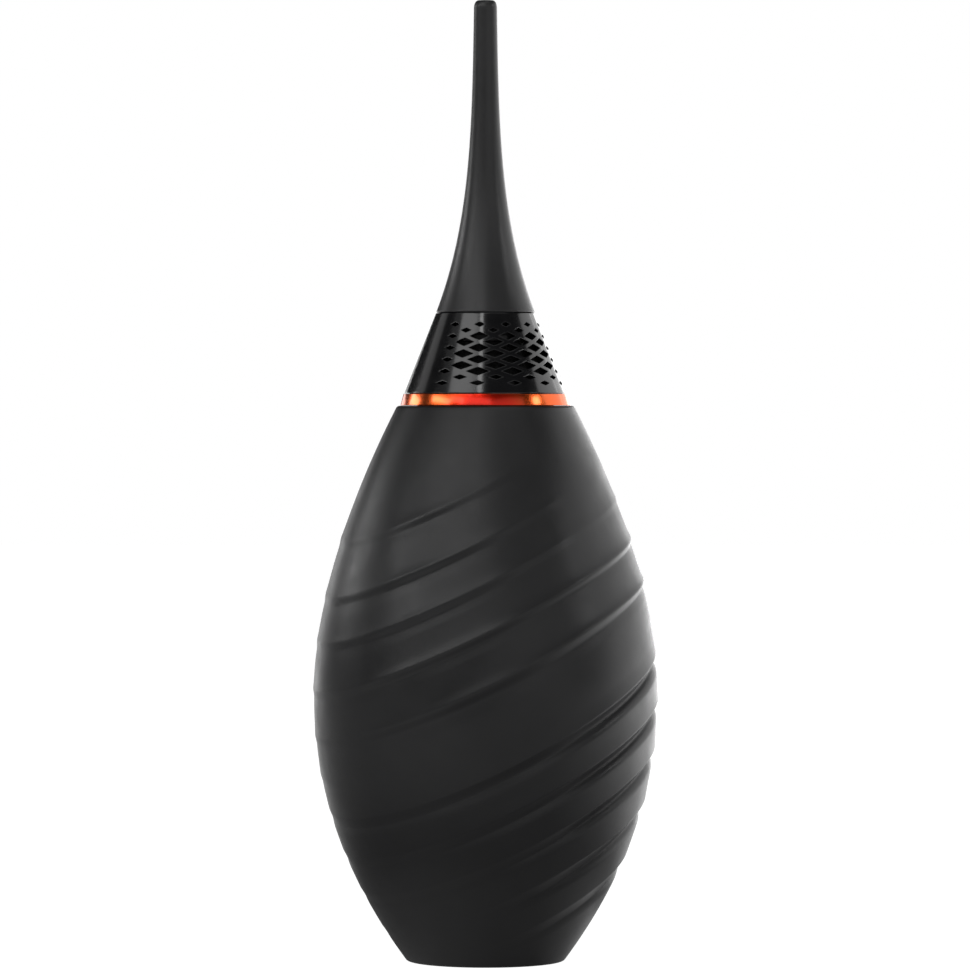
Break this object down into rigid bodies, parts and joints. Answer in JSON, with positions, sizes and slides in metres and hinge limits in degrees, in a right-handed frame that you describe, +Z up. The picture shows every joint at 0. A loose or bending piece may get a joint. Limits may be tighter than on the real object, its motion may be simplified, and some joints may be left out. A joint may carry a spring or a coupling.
{
  "type": "dust blower bulb",
  "caption": "Hand-squeezed dust blower: ribbed soft bulb, metal trim ring, perforated conical intake collar with filter and check valves, and a long tapered nozzle.",
  "frame": {"origin": "centre of the bulb's flat foot, on the surface it stands on", "axes": "+Z up along the blower's axis towards the nozzle tip, -Y towards the front, where the thumb presses, +X to the front view's right"},
  "size_m": [0.0618, 0.0618, 0.1733],
  "materials": {
    "bulb_silicone": "matte moulded silicone",
    "nozzle_black": "satin",
    "gloss_black": "polished",
    "orange_anodised": "bright anodised, turned",
    "inner_plastic": "as moulded",
    "valve_silicone": "translucent grey silicone",
    "seal_rubber": "nitrile rubber",
    "filter_foam": "open-cell foam"
  },
  "bodies": {
    "bulb": {"bulb": "bulb_silicone", "neck_socket": "inner_plastic", "socket_lock_ring": "inner_plastic", "lip_washer": "inner_plastic", "trim_ring": "orange_anodised"},
    "thumb_wall": {"bulb_thumb_wall": "bulb_silicone"},
    "head_seal": {"head_seal": "seal_rubber"},
    "head": {"valve_body": "inner_plastic", "inlet_keeper": "inner_plastic", "filter_cage": "inner_plastic", "filter_sleeve": "filter_foam", "filter_ring_lower": "seal_rubber", "filter_ring_upper": "seal_rubber", "intake_collar": "gloss_black", "outlet_seat": "inner_plastic", "outlet_keeper": "inner_plastic", "nozzle_spigot": "inner_plastic", "nozzle_seal": "seal_rubber"},
    "inlet_flap": {"inlet_flap": "valve_silicone"},
    "outlet_disc": {"outlet_disc": "valve_silicone"},
    "nozzle": {"nozzle": "nozzle_black"}
  },
  "joints": [
    {"name": "thumb_press", "type": "slide", "parent": "bulb", "child": "thumb_wall", "axis": [0, 1, 0], "range_m": [0, 0.009], "stiffness_N_per_m": 1000},
    {"name": "head_lift", "type": "slide", "parent": "bulb", "child": "head_seal", "axis": [0, 0, 1], "range_m": [0, 0.006]},
    {"name": "head_unscrew", "type": "hinge", "parent": "head_seal", "child": "head", "pos_m": [0, 0, 0.1024], "axis": [0, 0, 1], "range_deg": [0, 720]},
    {"name": "inlet_flap_open", "type": "slide", "parent": "head", "child": "inlet_flap", "axis": [0, 0, -1], "range_m": [0, 0.001], "stiffness_N_per_m": 10, "springref_m": -0.001},
    {"name": "outlet_disc_lift", "type": "slide", "parent": "head", "child": "outlet_disc", "axis": [0, 0, 1], "range_m": [0, 0.0012], "stiffness_N_per_m": 5, "springref_m": -0.0005},
    {"name": "nozzle_pull", "type": "slide", "parent": "head", "child": "nozzle", "axis": [0, 0, 1], "range_m": [0, 0.008]}
  ],
  "couplings": [
    {"joint": "head_lift", "follows": "head_unscrew", "m_per_rad": 0.00047746}
  ]
}
